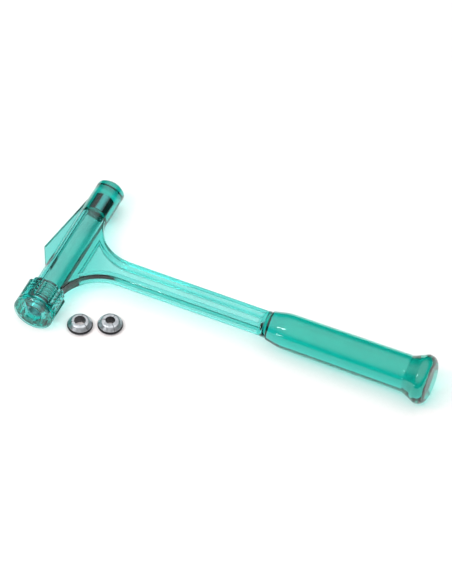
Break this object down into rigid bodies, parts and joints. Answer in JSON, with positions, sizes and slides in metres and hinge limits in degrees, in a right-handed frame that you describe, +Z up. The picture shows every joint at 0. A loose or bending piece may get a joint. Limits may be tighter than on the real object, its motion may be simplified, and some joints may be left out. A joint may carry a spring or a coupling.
{
  "type": "inertia puller hammer",
  "caption": "Clear hammer-shaped inertia puller with a hollow head, a fluted screw cap and jaw collets held by rubber rings.",
  "frame": {"origin": "centre of the bounding box's bottom face, on the floor that the hammer and the loose collets lie on", "axes": "+X from the head towards the butt of the handle, +Y from the screw cap towards the striking end of the head, +Z up"},
  "size_m": [0.2864, 0.1256, 0.0347],
  "materials": {
    "clear_plastic": "clear teal moulding, glossy, faint flow lines and scuffs",
    "collet_metal": "satin turned metal with fine tool lines",
    "weight_metal": "dark turned steel with fine tool lines",
    "rubber_ring": "black satin rubber"
  },
  "bodies": {
    "hammer": {"hammer_body": "clear_plastic", "head_weight": "weight_metal"},
    "fitted_collet": {"fitted_collet_jaw_1": "collet_metal", "fitted_collet_jaw_2": "collet_metal", "fitted_collet_jaw_3": "collet_metal", "fitted_collet_o_ring": "rubber_ring"},
    "cap": {"screw_cap": "clear_plastic"},
    "large_collet": {"large_collet_o_ring": "rubber_ring"},
    "large_collet_jaw_1": {"large_collet_jaw_1": "collet_metal"},
    "large_collet_jaw_2": {"large_collet_jaw_2": "collet_metal"},
    "large_collet_jaw_3": {"large_collet_jaw_3": "collet_metal"},
    "small_collet": {"small_collet_o_ring": "rubber_ring"},
    "small_collet_jaw_1": {"small_collet_jaw_1": "collet_metal"},
    "small_collet_jaw_2": {"small_collet_jaw_2": "collet_metal"},
    "small_collet_jaw_3": {"small_collet_jaw_3": "collet_metal"}
  },
  "joints": [
    {"name": "cap_travel", "type": "slide", "parent": "hammer", "child": "fitted_collet", "axis": [0, -1, 0], "range_m": [0, 0.009]},
    {"name": "cap_turn", "type": "hinge", "parent": "fitted_collet", "child": "cap", "pos_m": [-0.12488, -0.0046, 0.0143], "axis": [0, -1, 0], "range_deg": [0, 1081]},
    {"name": "large_collet_lift", "type": "slide", "parent": "hammer", "child": "large_collet", "axis": [0, 0, 1], "range_m": [0, 0.06]},
    {"name": "large_collet_jaw_1_spread", "type": "slide", "parent": "large_collet", "child": "large_collet_jaw_1", "axis": [0.809, 0.5878, 0], "range_m": [0, 0.0008], "stiffness_N_per_m": 1500, "deforming": ["large_collet_o_ring"]},
    {"name": "large_collet_jaw_2_spread", "type": "slide", "parent": "large_collet", "child": "large_collet_jaw_2", "axis": [-0.9135, 0.4067, 0], "range_m": [0, 0.0008], "stiffness_N_per_m": 1500, "deforming": ["large_collet_o_ring"]},
    {"name": "large_collet_jaw_3_spread", "type": "slide", "parent": "large_collet", "child": "large_collet_jaw_3", "axis": [0.1045, -0.9945, 0], "range_m": [0, 0.0008], "stiffness_N_per_m": 1500, "deforming": ["large_collet_o_ring"]},
    {"name": "small_collet_lift", "type": "slide", "parent": "hammer", "child": "small_collet", "axis": [0, 0, 1], "range_m": [0, 0.06]},
    {"name": "small_collet_jaw_1_spread", "type": "slide", "parent": "small_collet", "child": "small_collet_jaw_1", "axis": [0.9563, 0.2924, 0], "range_m": [0, 0.0008], "stiffness_N_per_m": 1500, "deforming": ["small_collet_o_ring"]},
    {"name": "small_collet_jaw_2_spread", "type": "slide", "parent": "small_collet", "child": "small_collet_jaw_2", "axis": [-0.7314, 0.682, 0], "range_m": [0, 0.0008], "stiffness_N_per_m": 1500, "deforming": ["small_collet_o_ring"]},
    {"name": "small_collet_jaw_3_spread", "type": "slide", "parent": "small_collet", "child": "small_collet_jaw_3", "axis": [-0.225, -0.9744, 0], "range_m": [0, 0.0008], "stiffness_N_per_m": 1500, "deforming": ["small_collet_o_ring"]}
  ],
  "couplings": [
    {"joint": "cap_turn", "follows": "cap_travel", "rad_per_m": 2094.4},
    {"joint": "large_collet_jaw_2_spread", "follows": "large_collet_jaw_1_spread", "ratio": 1},
    {"joint": "large_collet_jaw_3_spread", "follows": "large_collet_jaw_1_spread", "ratio": 1},
    {"joint": "small_collet_jaw_2_spread", "follows": "small_collet_jaw_1_spread", "ratio": 1},
    {"joint": "small_collet_jaw_3_spread", "follows": "small_collet_jaw_1_spread", "ratio": 1}
  ]
}
